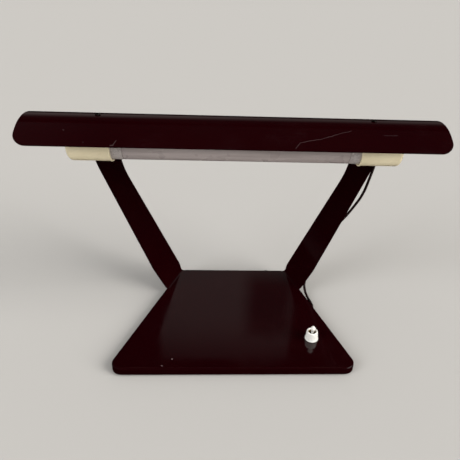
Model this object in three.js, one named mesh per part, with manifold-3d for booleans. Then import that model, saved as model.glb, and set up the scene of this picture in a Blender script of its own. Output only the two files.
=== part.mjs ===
// Desk lamp for a 300 mm tubular strip lamp: a folded sheet-steel stand carries a long curved hood.
// Millimetres, +X to the right, +Y to the back, +Z up; z = 0 is the table the rubber feet stand on.
import * as THREE from "three";
import { mergeVertices } from "three/addons/utils/BufferGeometryUtils.js";
import Module from "manifold-3d";

const wasm = await Module();
wasm.setup();

// ---- driving dimensions ----
const FIT_GAP = 0.3; // gap between neighbouring pieces that touch on the real lamp

// Base: a shallow pressed tray, open below
const BASE_TOP = 11.5;
const BASE_FRONT = -96.5;
const BASE_REAR = 92.4;
const BASE_HALF_FRONT = 140.9; // half width at the sharp front corner
const BASE_HALF_REAR = 76.1;
const BASE_CORNER_R = 12;
const RIM_BOTTOM = 2.5;
const SHEET = 2.0; // base sheet and rim
const ARM_SHEET = 1.8;
const FOLD_FRONT_Y = 48.5; // where the arm's fold starts along the slanted side
const FOLD_RELIEF = 5; // how far the tray's edge stands back behind the fold
const LEAD_NOTCH_Y = 9; // middle of the rim's notch for the lamp lead
const GLAND_X = 48; // the mains gland, in the rear rim
const GLAND_Z = 6;
const GLAND_HOLE_R = 2.9;
const BLOCK_X = 46; // the terminal block, under the tray
const BLOCK_Y = 66;
const FOOT_FRONT = [116, -79];
const FOOT_REAR = [62, 76];

// Hood: part of a round tube, open below
const HOOD_Y = 13.5;
const HOOD_Z = 202;
const HOOD_R = 57;
const HOOD_SHEET = 1.2;
const HOOD_LENGTH = 436;
const HOOD_HALF_ANGLE = 48;
const HOOD_CORNER_R = 13;

// Lamp tube and its holders
const TUBE_Z = 227.4;
const TUBE_R = 15;
const TUBE_HALF = 150;
const GLASS_WALL = 1;
const GLASS_HALF = 146;
const BAND_START = 120.3; // the end cap's collar runs from here to the tube's end
const CAP_R = 15.1;
const CAP_WALL = 0.6;
const HOLDER_START = 131.7;
const HOLDER_END = 177.5;
const HOLDER_R = 17;
const HOLDER_BORE_R = 15.6;
const BORE_END = 174; // the bore is deep enough to push the tube clear of the other holder
const CONTACT_X = 151.5; // where a contact disc meets the tube's end
const SCREW_X = 143.5;
const TAB_R = 54.4; // radius of the arm's tab about the hood's axis
const TAB_FRONT_X = 162.4;
const TAB_REAR_X = 133.8;
const TAB_BACK = 26; // degrees round the hood's axis, behind and in front of the crest
const TAB_FORWARD = 10;
const SCREW_HOLE_R = 2.2;
const SCREW_HEAD_R = 2.9;
const SCREW_HEAD_HEIGHT = 1.5;
const LEAD_HOLE_X = 170;
const LINK_HOLE_X = 161.5;

// Switch
const SWITCH_X = 92.8;
const SWITCH_Y = -48.8;
const LEVER_PIVOT_Z = BASE_TOP + 4;
const LEVER_REST_TILT = -10; // degrees, leaning to the front
const ROCKER_Z = 5.1;
const ROCKER_REST_TILT = 12;
const BUSHING_HOLE_R = 5.3;

// Wiring
const LEAD_R = 1.65;
const LINK_R = 1.0;

const RAD = Math.PI / 180;

// ---- materials ----
const material = (color, roughness, metalness) =>
  new THREE.MeshStandardMaterial({ color, roughness, metalness });
const ENAMEL = material(0x2a0709, 0.16, 0.0);
const CREAM = material(0xd8c596, 0.4, 0.0);
const WHITE = material(0xecebe2, 0.35, 0.0);
const OPAL = material(0x9a8f8d, 0.25, 0.0);
const ALUMINIUM = material(0x9b9592, 0.45, 0.9);
const BRASS = material(0xb08d4a, 0.35, 1.0);
const STEEL = material(0x9a9a98, 0.3, 1.0);
const BLACK_PLASTIC = material(0x17120f, 0.45, 0.0);
const RUBBER = material(0x15110f, 0.85, 0.0);
const LEAD_SKIN = material(0x1b0f0e, 0.35, 0.0);
const TUNGSTEN = material(0x4a4a4c, 0.5, 1.0);

// ---- solids ----
function solid(geometry) {
  const bare = geometry.index ? geometry.toNonIndexed() : geometry.clone();
  bare.deleteAttribute("normal");
  bare.deleteAttribute("uv");
  const merged = mergeVertices(bare, 1e-4);
  return new wasm.Manifold(
    new wasm.Mesh({
      numProp: 3,
      vertProperties: merged.attributes.position.array,
      triVerts: new Uint32Array(merged.index.array),
    }),
  );
}

function geometryOf(made) {
  const mesh = made.getMesh();
  const corners = new Float32Array(mesh.numVert * 3);
  for (let i = 0; i < mesh.numVert; i++) {
    corners.set(mesh.vertProperties.subarray(i * mesh.numProp, i * mesh.numProp + 3), i * 3);
  }
  const geometry = new THREE.BufferGeometry();
  geometry.setAttribute("position", new THREE.BufferAttribute(corners, 3));
  geometry.setIndex(new THREE.BufferAttribute(mesh.triVerts, 1));
  return geometry.toNonIndexed();
}

function cut(geometry, ...tools) {
  return geometryOf(tools.reduce((made, tool) => made.subtract(solid(tool)), solid(geometry)));
}

function join(...geometries) {
  return geometryOf(geometries.map(solid).reduce((made, next) => made.add(next)));
}

// A turned piece about Z from [radius, z] points going up the outside and closing on the axis or itself.
function turned(profile, sides = 24) {
  const points = profile.map(([r, z]) => new THREE.Vector2(r, z));
  return new THREE.LatheGeometry(points, sides).rotateX(Math.PI / 2);
}

const ring = (inner, outer, low, high, sides) =>
  turned([[inner, low], [outer, low], [outer, high], [inner, high], [inner, low]], sides);

const rod = (r, low, high, sides) => turned([[0, low], [r, low], [r, high], [0, high]], sides);

const block = (x, y, z) => new THREE.BoxGeometry(x, y, z);

function extruded(shape, low, high) {
  const geometry = new THREE.ExtrudeGeometry(shape, {
    depth: high - low,
    bevelEnabled: false,
    curveSegments: 6,
  });
  return geometry.translate(0, 0, low);
}

// A round wire along hand-chosen points.
function wire(points, radius, steps, sides = 8) {
  const section = new THREE.Shape();
  section.absarc(0, 0, radius, 0, Math.PI * 2, false);
  const stops = points.map((p) => new THREE.Vector3(...p));
  const curve = new THREE.CatmullRomCurve3(stops, false, "centripetal");
  return new THREE.ExtrudeGeometry(section, {
    steps,
    extrudePath: curve,
    bevelEnabled: false,
    curveSegments: sides / 2,
  });
}

const lamp = new THREE.Group();
lamp.name = "tube_desk_lamp";

function add(name, geometry, finish, parent = lamp) {
  const mesh = new THREE.Mesh(geometry, finish);
  mesh.name = name;
  parent.add(mesh);
  return mesh;
}

// ---- stand: tray and arms, folded from one sheet ----
const baseHalf = (y) =>
  BASE_HALF_FRONT +
  ((BASE_HALF_REAR - BASE_HALF_FRONT) * (y - BASE_FRONT)) / (BASE_REAR - BASE_FRONT);

// The tray's outline, `inset` inside its edge. From `foldStart` back, beside the arm's fold, its edge lies
// `foldSide` outside the fold line, or inside it where that is negative.
function trayOutline(inset, foldStart, foldSide) {
  const side = inset * Math.hypot(1, (BASE_HALF_FRONT - BASE_HALF_REAR) / (BASE_REAR - BASE_FRONT));
  const front = BASE_FRONT + inset;
  const radius = BASE_CORNER_R - inset;
  const corner = new THREE.Vector2(baseHalf(front) - side, front);
  const backward = new THREE.Vector2(baseHalf(BASE_REAR) - baseHalf(BASE_FRONT), BASE_REAR - BASE_FRONT);
  backward.normalize();
  const turn = Math.PI - Math.acos(-backward.x); // how far the edge turns at the corner
  const tangent = radius * Math.tan(turn / 2);
  const centre = new THREE.Vector2(corner.x - tangent, front + radius);
  const half = [];
  const arcSteps = 7;
  for (let i = 0; i <= arcSteps; i++) {
    const a = -Math.PI / 2 + (turn * i) / arcSteps;
    half.push([centre.x + radius * Math.cos(a), centre.y + radius * Math.sin(a)]);
  }
  half.push([baseHalf(foldStart) - side, foldStart]);
  half.push([baseHalf(foldStart) + foldSide, foldStart]);
  half.push([BASE_HALF_REAR + foldSide, BASE_REAR - inset]);
  const outline = [...half, ...half.map(([x, y]) => [-x, y]).reverse()];
  return new THREE.Shape(outline.map(([x, y]) => new THREE.Vector2(x, y)));
}

// Rounds each inner corner of a path with a short curve that starts `reach` before it.
function rounded(points, reaches, steps) {
  const path = [points[0].clone()];
  for (let i = 1; i < points.length - 1; i++) {
    const corner = points[i];
    const towards = (p) => corner.clone().lerp(p, reaches[i] / corner.distanceTo(p));
    const bend = new THREE.QuadraticBezierCurve3(towards(points[i - 1]), corner, towards(points[i + 1]));
    path.push(...bend.getPoints(steps));
  }
  path.push(points[points.length - 1].clone());
  return path;
}

// A strip of sheet between a front-edge path and a rear-edge path with the same number of points.
function strip(frontPath, rearPath, thickness) {
  const corners = [];
  const middles = frontPath.map((p, i) => p.clone().lerp(rearPath[i], 0.5));
  frontPath.forEach((front, i) => {
    const rear = rearPath[i];
    const along = middles[Math.min(i + 1, middles.length - 1)].clone().sub(middles[Math.max(i - 1, 0)]);
    const across = rear.clone().sub(front);
    const lift = across.cross(along).normalize().multiplyScalar(thickness / 2);
    for (const [edge, sign] of [[front, 1], [rear, 1], [rear, -1], [front, -1]]) {
      corners.push(...edge.clone().addScaledVector(lift, sign).toArray());
    }
  });
  const faces = [];
  const quad = (a, b, c, d) => faces.push(a, b, c, a, c, d);
  for (let i = 0; i + 1 < frontPath.length; i++) {
    for (let k = 0; k < 4; k++) {
      const next = (k + 1) % 4;
      quad(4 * i + k, 4 * i + next, 4 * i + 4 + next, 4 * i + 4 + k);
    }
  }
  quad(3, 2, 1, 0);
  const last = 4 * (frontPath.length - 1);
  quad(last, last + 1, last + 2, last + 3);
  const geometry = new THREE.BufferGeometry();
  geometry.setAttribute("position", new THREE.Float32BufferAttribute(corners, 3));
  geometry.setIndex(faces);
  return geometry;
}

// Turns a closed geometry's faces round when they point inwards.
function facingOut(geometry) {
  const p = geometry.attributes.position;
  const index = geometry.index.array;
  let volume = 0;
  const [a, b, c] = [0, 1, 2].map(() => new THREE.Vector3());
  for (let i = 0; i < index.length; i += 3) {
    a.fromBufferAttribute(p, index[i]);
    b.fromBufferAttribute(p, index[i + 1]);
    c.fromBufferAttribute(p, index[i + 2]);
    volume += a.dot(b.cross(c));
  }
  if (volume < 0) {
    for (let i = 0; i < index.length; i += 3) [index[i + 1], index[i + 2]] = [index[i + 2], index[i + 1]];
  }
  return geometry;
}

// The right arm's two edges, from inside the tray up to the tab under the hood's crest.
function armPaths() {
  const sheetZ = BASE_TOP - SHEET / 2;
  const foldFront = new THREE.Vector3(baseHalf(FOLD_FRONT_Y), FOLD_FRONT_Y, sheetZ);
  const foldRear = new THREE.Vector3(BASE_HALF_REAR, BASE_REAR - 0.2, sheetZ);
  const fold = foldRear.clone().sub(foldFront).normalize();
  const inward = new THREE.Vector3(-fold.y, fold.x, 0).multiplyScalar(FOLD_RELIEF + 4);
  const front = [
    foldFront.clone().add(inward),
    foldFront,
    new THREE.Vector3(108, 52.5, 40),
    new THREE.Vector3(162.2, 41.5, 200),
    new THREE.Vector3(TAB_FRONT_X, 39.3, 233),
  ];
  const rear = [
    foldRear.clone().add(inward),
    foldRear,
    new THREE.Vector3(78, 94.6, 19.5),
    new THREE.Vector3(135, 59, 184),
    new THREE.Vector3(TAB_REAR_X, 39.7, 233),
  ];
  const tabStart = TAB_BACK * RAD;
  const tabEnd = -TAB_FORWARD * RAD;
  const tabSteps = 7;
  const frontPath = rounded(front, [0, 4, 4, 14, 0], 4);
  const rearPath = rounded(rear, [0, 4, 4, 20, 0], 4);
  for (let i = 0; i <= tabSteps; i++) {
    const a = tabStart + ((tabEnd - tabStart) * i) / tabSteps;
    const y = HOOD_Y + TAB_R * Math.sin(a);
    const z = HOOD_Z + TAB_R * Math.cos(a);
    frontPath.push(new THREE.Vector3(TAB_FRONT_X, y, z));
    rearPath.push(new THREE.Vector3(TAB_REAR_X, y, z));
  }
  return [frontPath, rearPath];
}

function standSheet() {
  const tray = cut(
    extruded(trayOutline(0, FOLD_FRONT_Y - 1, -FOLD_RELIEF), RIM_BOTTOM, BASE_TOP),
    extruded(trayOutline(SHEET, FOLD_FRONT_Y - 3, 12), RIM_BOTTOM - 1, BASE_TOP - SHEET),
  );
  const [frontPath, rearPath] = armPaths();
  const mirrored = (path) => path.map((p) => new THREE.Vector3(-p.x, p.y, p.z));
  const right = facingOut(strip(frontPath, rearPath, ARM_SHEET));
  const left = facingOut(strip(mirrored(frontPath), mirrored(rearPath), ARM_SHEET));
  const holes = [-1, 1].map((s) => rod(SCREW_HOLE_R, 240, 260, 16).translate(s * SCREW_X, HOOD_Y, 0));
  const bushingHole = rod(BUSHING_HOLE_R, 0, 20, 24).translate(SWITCH_X, SWITCH_Y, 0);
  const leadNotch = block(10, 14, 6.6).translate(baseHalf(LEAD_NOTCH_Y), LEAD_NOTCH_Y, RIM_BOTTOM + 2.3);
  const glandHole = rod(GLAND_HOLE_R, -6, 6, 16).rotateX(Math.PI / 2);
  glandHole.translate(GLAND_X, BASE_REAR - 1, GLAND_Z);
  return cut(join(tray, right, left), ...holes, bushingHole, leadNotch, glandHole);
}

// ---- hood ----
function hoodSheet() {
  const arcLength = HOOD_R * HOOD_HALF_ANGLE * RAD;
  const angles = [];
  const cornerSteps = 6;
  for (let i = 0; i < cornerSteps; i++) {
    const s = HOOD_CORNER_R * (1 - Math.cos((i / cornerSteps) * Math.PI * 0.5));
    angles.push(-HOOD_HALF_ANGLE * RAD + s / HOOD_R);
  }
  const plainStart = -HOOD_HALF_ANGLE * RAD + HOOD_CORNER_R / HOOD_R;
  const plainSteps = 16;
  for (let i = 0; i <= plainSteps; i++) angles.push(plainStart * (1 - (2 * i) / plainSteps));
  for (let i = cornerSteps - 1; i >= 0; i--) angles.push(-angles[i]);
  const corners = [];
  for (const a of angles) {
    const fromLip = arcLength - Math.abs(a) * HOOD_R;
    const short = Math.max(0, HOOD_CORNER_R - fromLip);
    const reach = Math.sqrt(HOOD_CORNER_R ** 2 - Math.min(short, HOOD_CORNER_R) ** 2);
    const half = HOOD_LENGTH / 2 - HOOD_CORNER_R + reach;
    const inside = HOOD_R - HOOD_SHEET;
    for (const [x, r] of [[-half, HOOD_R], [half, HOOD_R], [half, inside], [-half, inside]]) {
      corners.push(x, HOOD_Y + r * Math.sin(a), HOOD_Z + r * Math.cos(a));
    }
  }
  const faces = [];
  const quad = (a, b, c, d) => faces.push(a, b, c, a, c, d);
  for (let i = 0; i + 1 < angles.length; i++) {
    for (let k = 0; k < 4; k++) {
      const next = (k + 1) % 4;
      quad(4 * i + k, 4 * i + next, 4 * i + 4 + next, 4 * i + 4 + k);
    }
  }
  quad(3, 2, 1, 0);
  const last = 4 * (angles.length - 1);
  quad(last, last + 1, last + 2, last + 3);
  const geometry = new THREE.BufferGeometry();
  geometry.setAttribute("position", new THREE.Float32BufferAttribute(corners, 3));
  geometry.setIndex(faces);
  const holes = [-1, 1].map((s) => rod(SCREW_HOLE_R, 250, 270, 16).translate(s * SCREW_X, HOOD_Y, 0));
  return cut(facingOut(geometry), ...holes);
}

// ---- tube, caps and filament, about the X axis ----
const alongX = (geometry) => geometry.rotateY(Math.PI / 2);

function glassTube() {
  const neckR = CAP_R - CAP_WALL - 0.4;
  const step = BAND_START - FIT_GAP;
  const inner = neckR - GLASS_WALL;
  return alongX(
    turned(
      [
        [inner, -GLASS_HALF],
        [neckR, -GLASS_HALF],
        [neckR, -step],
        [TUBE_R, -step],
        [TUBE_R, step],
        [neckR, step],
        [neckR, GLASS_HALF],
        [inner, GLASS_HALF],
        [inner, -GLASS_HALF],
      ],
      36,
    ),
  );
}

function tubeCap() {
  const inner = CAP_R - CAP_WALL;
  return alongX(
    turned(
      [
        [0, TUBE_HALF - 1],
        [inner, TUBE_HALF - 1],
        [inner, BAND_START],
        [CAP_R, BAND_START],
        [CAP_R, TUBE_HALF - 0.8],
        [CAP_R - 0.8, TUBE_HALF],
        [4, TUBE_HALF],
        [3.4, TUBE_HALF + 1.2],
        [0, TUBE_HALF + 1.2],
      ],
      36,
    ),
  );
}

// ---- holders: a deep cup for the tube's end and the sprung contact, with a boss for the screw ----
function holder(hasLead) {
  const edge = 5;
  const profile = [
    [0, HOLDER_START],
    [17.6, HOLDER_START],
    [17.6, HOLDER_START + 1.6],
    [HOLDER_R, HOLDER_START + 2.6],
  ];
  for (let i = 0; i <= 5; i++) {
    const a = (i / 5) * Math.PI * 0.5;
    profile.push([HOLDER_R - edge + edge * Math.cos(a), HOLDER_END - edge + edge * Math.sin(a)]);
  }
  profile.push([0, HOLDER_END]);
  const outside = alongX(turned(profile, 36)).translate(0, HOOD_Y, TUBE_Z);
  const bossTop = HOOD_Z + TAB_R - ARM_SHEET / 2 - 0.9;
  const boss = block(14, 13, bossTop - TUBE_Z - 6).translate(SCREW_X, HOOD_Y, (bossTop + TUBE_Z + 6) / 2);
  const bore = alongX(rod(HOLDER_BORE_R, HOLDER_START - 1, BORE_END, 36)).translate(0, HOOD_Y, TUBE_Z);
  const pocket = rod(3.3, 246.4, bossTop + 1, 16).translate(SCREW_X, HOOD_Y, 0);
  const wireHole = (x, r) => rod(r, -24, -4, 12).rotateX(Math.PI / 2).translate(x, HOOD_Y, TUBE_Z + 2);
  const tools = [bore, pocket, wireHole(LINK_HOLE_X, 1.5)];
  if (hasLead) tools.push(wireHole(LEAD_HOLE_X, 2.3));
  return cut(join(outside, boss), ...tools);
}

function contactDisc() {
  const profile = [
    [0, CONTACT_X],
    [11.9, CONTACT_X],
    [12.5, CONTACT_X + 0.6],
    [12.5, CONTACT_X + 1.5],
    [4.6, CONTACT_X + 1.5],
    [4.2, CONTACT_X + 3],
    [0, CONTACT_X + 3],
  ];
  return alongX(turned(profile, 28)).translate(0, HOOD_Y, TUBE_Z);
}

function contactSpring() {
  const turns = 4;
  const stepsPerTurn = 10;
  const start = CONTACT_X + 2.4;
  const end = BORE_END - 0.8;
  const narrow = 5.4;
  const wide = 10.4; // a cone, so that the turns lie inside each other when it is pushed flat
  const points = [];
  for (let i = 0; i <= turns * stepsPerTurn; i++) {
    const share = i / (turns * stepsPerTurn);
    const a = share * turns * Math.PI * 2;
    const coil = narrow + (wide - narrow) * share;
    points.push([start + (end - start) * share, HOOD_Y + coil * Math.cos(a), TUBE_Z + coil * Math.sin(a)]);
  }
  return wire(points, 0.45, turns * stepsPerTurn, 6);
}

function holderScrew() {
  const head = HOOD_Z + HOOD_R + FIT_GAP;
  const top = head + SCREW_HEAD_HEIGHT;
  return turned(
    [
      [0, 247.6],
      [1.2, 247.6],
      [1.7, 248.4],
      [1.7, head],
      [SCREW_HEAD_R, head],
      [SCREW_HEAD_R, head + 0.4],
      [SCREW_HEAD_R - 0.6, top - 0.4],
      [SCREW_HEAD_R - 1.7, top - 0.05],
      [0, top],
    ],
    18,
  ).translate(SCREW_X, HOOD_Y, 0);
}

// A piece made for the right side, and its mirror image for the left.
function pair(name, geometry, finish, leftGeometry = geometry) {
  add(name + "_right", geometry, finish);
  const left = leftGeometry.index ? leftGeometry.toNonIndexed() : leftGeometry.clone();
  const p = left.attributes.position;
  for (let i = 0; i < p.count; i += 3) {
    const corners = [0, 1, 2].map((k) => [-p.getX(i + k), p.getY(i + k), p.getZ(i + k)]);
    [corners[0], corners[2], corners[1]].forEach((corner, k) => p.setXYZ(i + k, ...corner));
  }
  add(name + "_left", left, finish);
}

// ---- switch, about its own centre line, with its own +X turned to the back of the lamp ----
const switchGroup = new THREE.Group();
switchGroup.position.set(SWITCH_X, SWITCH_Y, 0);
switchGroup.rotation.z = Math.PI / 2;
lamp.add(switchGroup);

function addSwitch() {
  const underPlate = BASE_TOP - SHEET - FIT_GAP;
  const topEdge = underPlate - 0.6;
  const shellFloor = 3.1;
  const leadSlot = block(8, 4.6, 4).translate(11, -0.2, 4.9);
  const supplySlot = block(4.6, 8, 4).translate(-8, 8, 4.9);
  const shell = cut(
    turned([[0, shellFloor], [12, shellFloor], [12, topEdge], [11.4, underPlate], [0, underPlate]], 32),
    rod(10.8, shellFloor - 1, 7.7, 32),
    rod(BUSHING_HOLE_R, 5, 12, 24),
    leadSlot,
    supplySlot,
  );
  add("switch_shell", shell, BLACK_PLASTIC, switchGroup);
  add("switch_base", rod(12, 1.6, 2.8, 32), BLACK_PLASTIC, switchGroup);
  const pinHole = () => rod(0.9, -8, 8, 12).rotateX(Math.PI / 2).translate(0, 0, LEVER_PIVOT_Z);
  add("switch_bushing", cut(ring(3.9, 5, 7.6, BASE_TOP + 9.2, 24), pinHole()), BRASS, switchGroup);
  const nutBottom = BASE_TOP + FIT_GAP;
  const nut = turned(
    [
      [5.3, nutBottom],
      [8, nutBottom],
      [8, nutBottom + 1],
      [6.6, nutBottom + 10.6],
      [5.9, nutBottom + 11.4],
      [4.7, nutBottom + 11.4],
      [4.7, nutBottom + 9.2],
      [5.3, nutBottom + 9.2],
      [5.3, nutBottom],
    ],
    36,
  );
  add("switch_nut", nut, WHITE, switchGroup);
  const pin = rod(0.6, -4.8, 4.8, 12).rotateX(Math.PI / 2).translate(0, 0, LEVER_PIVOT_Z);
  add("lever_pin", pin, STEEL, switchGroup);
  const lever = cut(
    turned(
      [
        [0, -9.6],
        [0.9, -9.6],
        [1.2, -9],
        [1.2, -3.4],
        [2, -2.2],
        [2, 2.2],
        [1.5, 4],
        [1.6, 9.4],
        [2.5, 11.2],
        [2.9, 13.2],
        [2.75, 14.9],
        [1.8, 16.3],
        [0, 16.8],
      ],
      20,
    ),
    rod(0.67, -4, 4, 12).rotateX(Math.PI / 2),
  );
  const leverMesh = add("toggle_lever", lever, WHITE, switchGroup);
  leverMesh.position.z = LEVER_PIVOT_Z;
  leverMesh.rotation.y = LEVER_REST_TILT * RAD;
  const rocker = add("switch_rocker", block(10, 3, 0.8), BRASS, switchGroup);
  rocker.position.z = ROCKER_Z;
  rocker.rotation.y = ROCKER_REST_TILT * RAD;
  add("switch_fulcrum", block(1, 3, 1.1).translate(0, 0, 3.7), BRASS, switchGroup);
  for (const [side, name] of [[-1, "front"], [1, "rear"]]) {
    add("switch_terminal_" + name, block(5.4, 3, 0.3).translate(side * 6.9, 0, 3.25), BRASS, switchGroup);
    add("terminal_screw_" + name, rod(1.3, 3.7, 4.7, 12).translate(side * 8, 0, 0), STEEL, switchGroup);
  }
}

// ---- base fittings ----
function addBaseFittings() {
  for (const [end, [x, y]] of Object.entries({ front: FOOT_FRONT, rear: FOOT_REAR })) {
    for (const [side, name] of [[-1, "left"], [1, "right"]]) {
      const foot = turned([[0, 0], [6, 0], [7, 1.2], [7.4, 9.2], [0, 9.2]], 24);
      add("foot_" + end + "_" + name, foot.translate(side * x, y, 0), RUBBER);
    }
  }
  const gland = turned(
    [[1.7, -3.2], [2.6, -3.2], [2.6, 1.3], [3.4, 1.3], [3.4, 2.6], [2.6, 5.1], [1.7, 5.1], [1.7, -3.2]],
    20,
  );
  add("mains_gland", gland.rotateX(-Math.PI / 2).translate(GLAND_X, BASE_REAR - 1, GLAND_Z), RUBBER);
}

// A two-pole block: a brass sleeve through each pole and a screw down into each end of the sleeve.
function addTerminalBlock() {
  const boreZ = 5.6;
  const poles = [-4.5, 4.5].map((dx) => BLOCK_X + dx);
  const screwRows = [-3, 3].map((dy) => BLOCK_Y + dy);
  const bores = poles.map((x) => rod(1.9, -9, 9, 12).rotateX(Math.PI / 2).translate(x, BLOCK_Y, boreZ));
  const wells = poles.flatMap((x) => screwRows.map((y) => rod(1.3, 6, 10, 12).translate(x, y, 0)));
  const body = block(19, 11, 5.8).translate(BLOCK_X, BLOCK_Y, 5.9);
  add("terminal_block", cut(body, ...bores, ...wells), CREAM);
  poles.forEach((x, pole) => {
    const sleeve = ring(0.9, 1.6, -5, 5, 12).rotateX(Math.PI / 2).translate(x, BLOCK_Y, boreZ);
    add("block_sleeve_" + (pole + 1), sleeve, BRASS);
    screwRows.forEach((y, row) => {
      add("block_screw_" + (2 * pole + row + 1), rod(1, 7.5, 8.7, 12).translate(x, y, 0), STEEL);
    });
  });
}

// ---- wiring ----
// From the right holder down the outer face of the right arm, round its foot, through the rim to the switch.
const LEAD_ROUTE = [
  [170, 28.4, 229.4],
  [170, 33.5, 229.2],
  [169.4, 40, 225],
  [167.4, 45.6, 214],
  [165.2, 48.8, 200],
  [163.8, 50, 188.5],
  [161.8, 51, 176],
  [159.2, 51.5, 162.5],
  [155.1, 52, 150],
  [148.8, 52, 138],
  [141.5, 52.3, 125.5],
  [133.4, 54, 112],
  [121.8, 57.6, 84],
  [111.8, 60, 52.4],
  [105.2, 60.8, 33],
  [100.6, 60.6, 21],
  [98.7, 56.6, 13],
  [98.9, 49.4, 8.2],
  [100.3, 41, 5.8],
  [102.7, 31.5, 4.7],
  [105, 21.8, 4.3],
  [103.4, 12.3, 4.9],
  [98.6, 2, 5.4],
  [95.4, -12, 5.2],
  [93.6, -26, 4.9],
  [93, -38.6, 4.9],
];
// Between the two holders, under the hood and behind the tube.
const LINK_ROUTE = [
  [-161.5, 28.4, 229.4],
  [-161.5, 32.6, 229.6],
  [-160.5, 34.2, 234],
  [-157, 33.8, 241],
  [-148, 33.2, 244.5],
  [-110, 33, 245],
  [0, 33, 244.2],
  [110, 33, 245],
  [148, 33.2, 244.5],
  [157, 33.8, 241],
  [160.5, 34.2, 234],
  [161.5, 32.6, 229.6],
  [161.5, 28.4, 229.4],
];
// From the terminal block to the switch, under the tray.
const SUPPLY_ROUTE = [
  [50.5, 59.4, 5.6],
  [50.5, 52, 5.6],
  [54, 32, 5.2],
  [62, 8, 5],
  [67.5, -16, 5],
  [70.5, -36, 5],
  [74, -48.6, 5],
  [79.4, -55.4, 4.9],
  [85, -56.8, 4.9],
  [90.6, -56.8, 4.9],
];

// ---- assembly ----
add("stand_sheet", standSheet(), ENAMEL);
add("hood", hoodSheet(), ENAMEL);
add("lamp_glass", glassTube().translate(0, HOOD_Y, TUBE_Z), OPAL);
add("filament", alongX(rod(0.6, -147.5, 147.5, 8)).translate(0, HOOD_Y, TUBE_Z), TUNGSTEN);
pair("lamp_cap", tubeCap().translate(0, HOOD_Y, TUBE_Z), ALUMINIUM);
pair("holder", holder(true), CREAM, holder(false));
pair("contact_disc", contactDisc(), BRASS);
pair("contact_spring", contactSpring(), STEEL);
pair("holder_screw", holderScrew(), STEEL);
pair("screw_insert", ring(2, 3, 247, 254.2, 16).translate(SCREW_X, HOOD_Y, 0), BRASS);
addSwitch();
addBaseFittings();
addTerminalBlock();
add("lamp_lead", wire(LEAD_ROUTE, LEAD_R, 66), LEAD_SKIN);
add("link_wire", wire(LINK_ROUTE, LINK_R, 60), LEAD_SKIN);
add("supply_wire", wire(SUPPLY_ROUTE, LEAD_R, 24), LEAD_SKIN);

export default lamp;
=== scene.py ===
# Desk lamp for a 300 mm tubular lamp: lacquered folded stand, curved hood, cream holders, toggle switch.
# Metres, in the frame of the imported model: +X to the right, +Y to the back, +Z up, z = 0 is the table.
import math

import bmesh
import bpy
from mathutils import Matrix, Vector

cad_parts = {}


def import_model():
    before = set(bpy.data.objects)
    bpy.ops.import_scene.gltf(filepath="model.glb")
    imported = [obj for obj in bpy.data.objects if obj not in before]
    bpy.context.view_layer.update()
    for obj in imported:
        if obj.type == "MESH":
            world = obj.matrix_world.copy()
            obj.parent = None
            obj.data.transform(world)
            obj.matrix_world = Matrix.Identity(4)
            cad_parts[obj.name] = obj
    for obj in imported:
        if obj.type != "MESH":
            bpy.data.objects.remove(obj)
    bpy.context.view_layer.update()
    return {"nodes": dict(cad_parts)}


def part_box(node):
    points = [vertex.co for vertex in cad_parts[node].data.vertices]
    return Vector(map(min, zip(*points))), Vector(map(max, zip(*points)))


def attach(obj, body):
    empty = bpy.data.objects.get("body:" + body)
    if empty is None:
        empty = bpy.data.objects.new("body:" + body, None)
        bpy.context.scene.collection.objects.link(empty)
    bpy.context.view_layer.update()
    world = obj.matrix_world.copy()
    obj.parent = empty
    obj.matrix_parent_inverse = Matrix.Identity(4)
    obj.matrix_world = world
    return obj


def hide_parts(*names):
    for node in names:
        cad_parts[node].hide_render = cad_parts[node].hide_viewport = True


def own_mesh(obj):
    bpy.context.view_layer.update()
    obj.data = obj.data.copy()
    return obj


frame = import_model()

BODY = "lamp_frame"
MM = 0.001

# ---------------------------------------------------------------- dimensions
# Base tray
BASE_TOP = 11.5 * MM
BASE_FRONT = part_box("stand_sheet")[0].y
BASE_REAR = 92.4 * MM
BASE_HALF_FRONT = 140.9 * MM  # half width at the sharp front corner
BASE_HALF_REAR = 76.1 * MM
BASE_CORNER_R = 12 * MM
RIM_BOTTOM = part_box("stand_sheet")[0].z
EDGE_R = 2.2 * MM  # the rounded edge between the tray's top and its rim
SHEET = 1.8 * MM
FOLD_FRONT_Y = 48.5 * MM
FOLD_REAR_Y = 92.2 * MM
FOLD_BEND = 4 * MM  # how far the bend reaches each side of the fold line
FOLD_RELIEF = 5 * MM  # the rear rim stops this far from the fold
NOTCH_Y = 9 * MM  # centre of the rim's notch for the lamp lead
NOTCH_HALF = 7 * MM
NOTCH_TOP = 8.1 * MM

# Right arm: the corners of its front and rear edges above the fold, then the tab's bend under the hood
ARM_FRONT = ((0.108, 0.0525, 0.040), (0.1622, 0.0415, 0.200), (0.1624, 0.0393, 0.233))
ARM_REAR = ((0.078, 0.0946, 0.0195), (0.135, 0.059, 0.184), (0.1338, 0.0397, 0.233))
ARM_COLUMNS = (0.0, 0.05, 0.15, 0.35, 0.5, 0.65, 0.85, 0.95, 1.0)  # shares of the way across the arm
TAB_R = 54.4 * MM
TAB_REAR_ANGLE = math.radians(26)
TAB_FRONT_ANGLE = math.radians(-10)

# Hood, from its packed box
HOOD_LOW, HOOD_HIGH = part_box("hood")
HOOD_HALF_ANGLE = math.radians(48)
HOOD_Y = (HOOD_LOW.y + HOOD_HIGH.y) / 2
HOOD_R = (HOOD_HIGH.y - HOOD_LOW.y) / 2 / math.sin(HOOD_HALF_ANGLE)
HOOD_Z = HOOD_HIGH.z - HOOD_R
HOOD_HALF = HOOD_HIGH.x
HOOD_CORNER_R = 13 * MM
HOOD_SHEET = 1.2 * MM

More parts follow.
